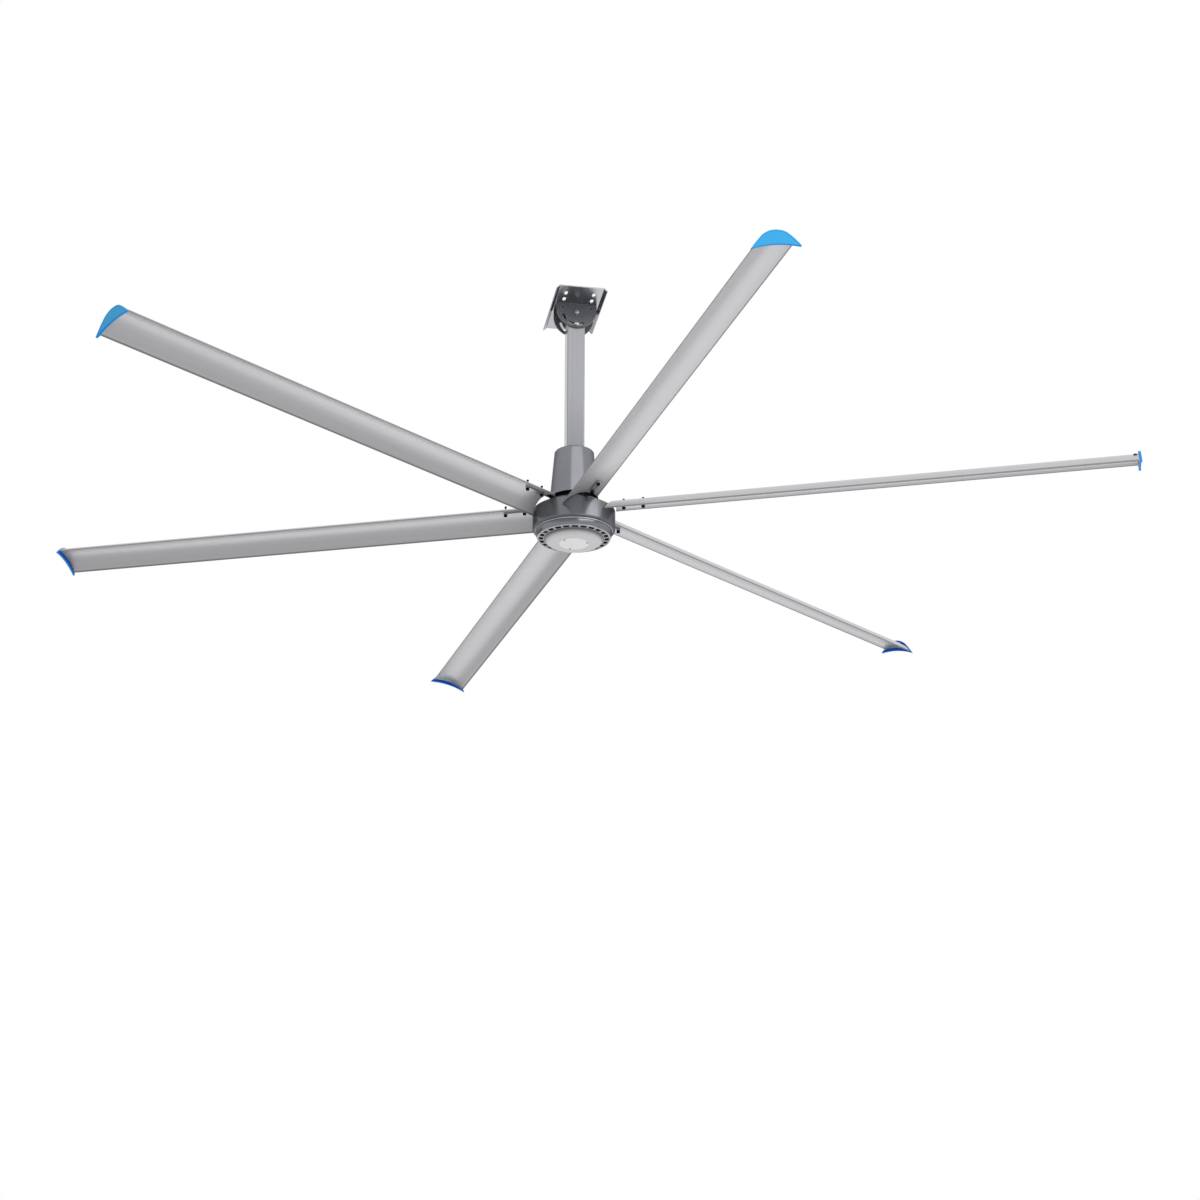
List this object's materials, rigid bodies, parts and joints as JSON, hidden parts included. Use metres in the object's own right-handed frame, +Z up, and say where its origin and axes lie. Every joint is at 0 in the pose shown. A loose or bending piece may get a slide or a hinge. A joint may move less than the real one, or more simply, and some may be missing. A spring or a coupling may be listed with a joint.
{
  "type": "high-volume low-speed ceiling fan",
  "caption": "High-volume low-speed ceiling fan: hollow cambered blades with upright winglets on a direct-drive drum motor, hung by a square tube from a tilting ceiling bracket.",
  "frame": {"origin": "centre of the ceiling plate's upper face, on the axis of the motor as it hangs", "axes": "+Z up along the axis of spin, +X across the ceiling plate, +Y along its length and its tilt axis"},
  "size_m": [4.5636, 4.868, 1.1725],
  "materials": {
    "plate_steel": "smooth bright zinc",
    "bracket_paint": "satin dark grey powder coat",
    "tube_paint": "satin grey powder coat",
    "black_steel": "black oxide",
    "neck_paint": "satin grey paint",
    "bright_steel": "zinc plated",
    "lamination_steel": "stamped laminations",
    "copper_wire": "enamelled copper",
    "magnet_metal": "nickel plated",
    "bearing_steel": "ground",
    "drum_paint": "satin grey paint",
    "vent_black": "satin grey paint",
    "cover_paint": "satin light grey paint",
    "hub_steel": "dark plated",
    "blade_aluminium": "satin anodised",
    "tip_plate_metal": "satin",
    "winglet_blue": "blue moulded plastic"
  },
  "bodies": {
    "bracket": {"ceiling_plate": "plate_steel", "front_ear": "bracket_paint", "rear_ear": "bracket_paint"},
    "mast": {"down_tube": "tube_paint", "pivot_bolt": "bright_steel", "pivot_nut": "bright_steel", "clamp_bolt": "bright_steel", "clamp_nut": "bright_steel", "neck_cover": "neck_paint", "neck_collar": "bright_steel", "tube_flange": "bright_steel", "flange_bolts": "bright_steel", "motor_shaft": "bright_steel", "shaft_nut": "bright_steel", "stator_core": "lamination_steel", "stator_windings": "copper_wire", "upper_inner_race": "bearing_steel", "lower_inner_race": "bearing_steel"},
    "rotor": {"blade_bolts": "black_steel", "blade_nuts": "black_steel", "clamp_bars": "bright_steel", "hub_bolts": "bright_steel", "magnets": "magnet_metal", "upper_outer_race": "bearing_steel", "lower_outer_race": "bearing_steel", "bearing_cages": "bearing_steel", "drum_shell": "drum_paint", "drum_lid": "drum_paint", "lower_ring": "drum_paint", "vent_ring": "vent_black", "bottom_cover": "cover_paint", "centre_disc": "cover_paint", "hub_plate": "hub_steel", "arm_1": "hub_steel", "arm_2": "hub_steel", "arm_3": "hub_steel", "arm_4": "hub_steel", "arm_5": "hub_steel", "arm_6": "hub_steel", "blade_1": "blade_aluminium", "blade_2": "blade_aluminium", "blade_3": "blade_aluminium", "blade_4": "blade_aluminium", "blade_5": "blade_aluminium", "blade_6": "blade_aluminium", "tip_plates": "tip_plate_metal", "winglet_1": "winglet_blue", "winglet_2": "winglet_blue", "winglet_3": "winglet_blue", "winglet_4": "winglet_blue", "winglet_5": "winglet_blue", "winglet_6": "winglet_blue"}
  },
  "joints": [
    {"name": "mount_tilt", "type": "hinge", "parent": "bracket", "child": "mast", "pos_m": [0, 0, -0.05], "axis": [0, 1, 0], "range_deg": [-27, 78]},
    {"name": "rotor_spin", "type": "hinge", "parent": "mast", "child": "rotor", "pos_m": [0, 0, -1.046], "axis": [0, 0, 1], "continuous": true}
  ]
}
